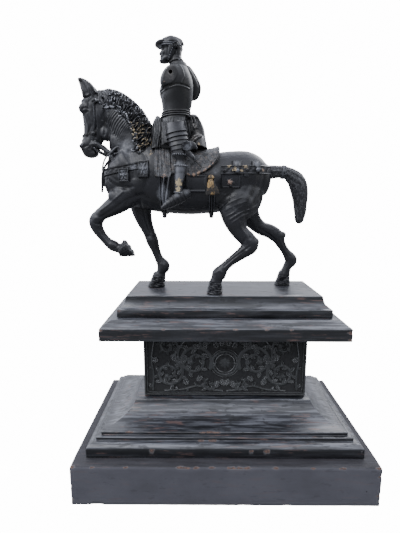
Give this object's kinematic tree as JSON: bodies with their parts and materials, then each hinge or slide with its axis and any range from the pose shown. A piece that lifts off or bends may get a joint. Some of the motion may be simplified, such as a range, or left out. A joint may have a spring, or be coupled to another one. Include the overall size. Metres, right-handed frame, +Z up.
{
  "type": "equestrian statuette",
  "caption": "Cast metal statuette of an armoured rider on a walking horse, standing on a stepped plinth of black wood with a relief plaque on its die.",
  "frame": {"origin": "middle of the plinth's underside", "axes": "+Z up, the horse walks towards -X and shows its left side to -Y"},
  "size_m": [0.3, 0.175, 0.4561],
  "materials": {
    "slab_wood": "ebonised wood gone matt and grey, scratched, brown where the edges are worn",
    "moulding_wood": "ebonised and polished wood, satin, with scratches, worm holes and brown rubbed edges",
    "plaque_metal": "dull black patina, grey on the raised parts",
    "cast_metal": "semi-gloss black patina, rubbed grey on high places, with bare yellow and cream losses"
  },
  "bodies": {
    "root": {"base_slab": "slab_wood", "lower_moulding": "moulding_wood", "die_block": "moulding_wood", "frieze_plaque": "plaque_metal", "cornice_board": "moulding_wood", "top_plate": "moulding_wood", "horse_and_rider": "cast_metal"}
  },
  "joints": []
}
